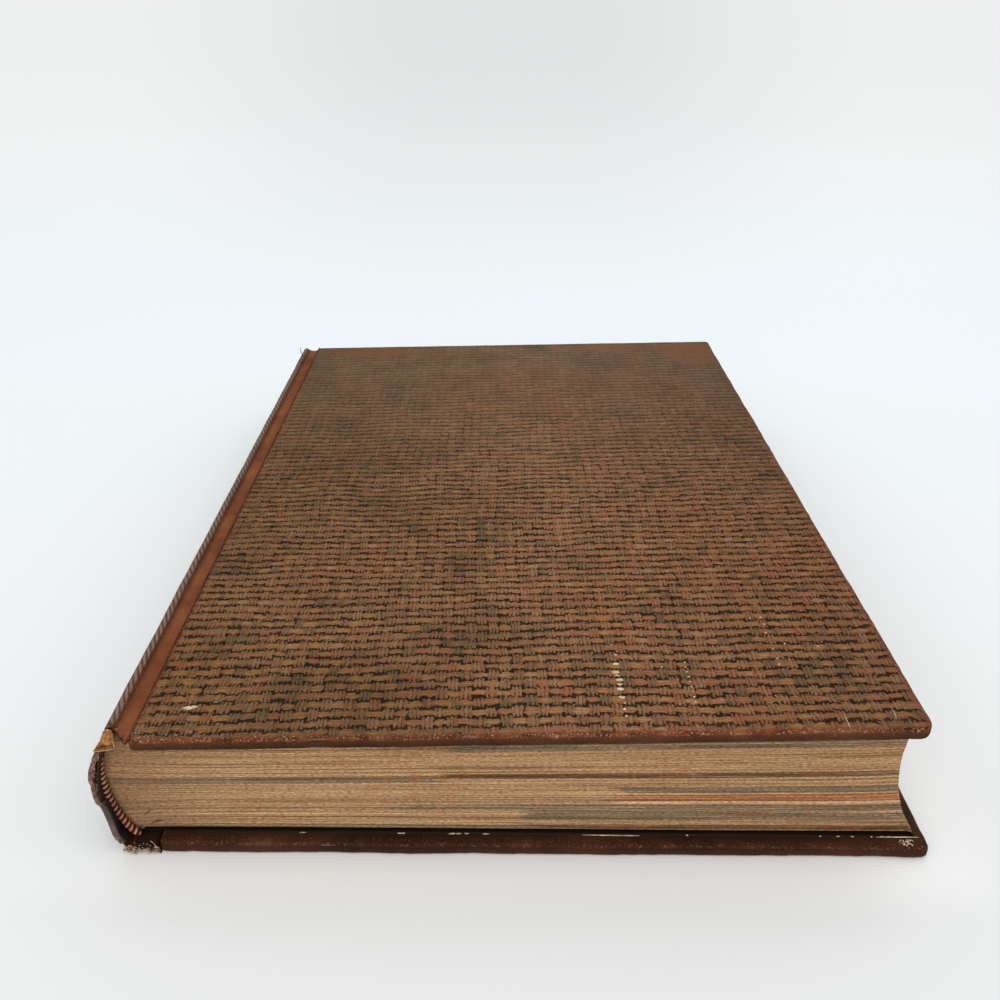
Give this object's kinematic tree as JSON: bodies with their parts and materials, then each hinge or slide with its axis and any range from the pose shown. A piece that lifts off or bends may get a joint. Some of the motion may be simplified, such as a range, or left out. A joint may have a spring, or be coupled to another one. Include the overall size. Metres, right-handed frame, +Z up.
{
  "type": "hardback book",
  "caption": "Old hardback book lying shut, with cloth-covered boards that open, a rounded leaning block of leaves, striped end bands and a torn spine end.",
  "frame": {"origin": "centre of the book's box, on the surface it lies on", "axes": "+X from the spine to the fore-edge, +Y from the tail to the head, +Z up through the front cover"},
  "size_m": [0.1926, 0.258, 0.0395],
  "materials": {
    "leaves": "aged and foxed cut edges",
    "endpaper": "browned uncoated paper",
    "band_thread": "red-brown and cream striped thread",
    "spine_gauze": "glued gauze and paper",
    "spine_card": "dense brown card with torn edges",
    "spine_cloth": "embossed and dulled by handling",
    "greyboard": "pressed pulp board",
    "cover_cloth": "embossed basket weave, worn at the edges"
  },
  "bodies": {
    "leaves": {"text_block": "leaves", "front_flyleaf": "endpaper", "back_flyleaf": "endpaper", "tail_band": "band_thread", "head_band": "band_thread", "spine_lining": "spine_gauze", "spine_inlay": "spine_card", "spine_cloth": "spine_cloth"},
    "front_cover": {"front_board": "greyboard", "front_cover_cloth": "cover_cloth", "front_pastedown": "endpaper"},
    "back_cover": {"back_board": "greyboard", "back_cover_cloth": "cover_cloth", "back_pastedown": "endpaper"}
  },
  "joints": [
    {"name": "front_cover_hinge", "type": "hinge", "parent": "leaves", "child": "front_cover", "pos_m": [-0.09218, 0, 0.03234], "axis": [0, -1, 0], "range_deg": [0, 178]},
    {"name": "back_cover_hinge", "type": "hinge", "parent": "leaves", "child": "back_cover", "pos_m": [-0.09218, 0, 0.00165], "axis": [0, 1, 0], "range_deg": [0, 179.9]}
  ]
}
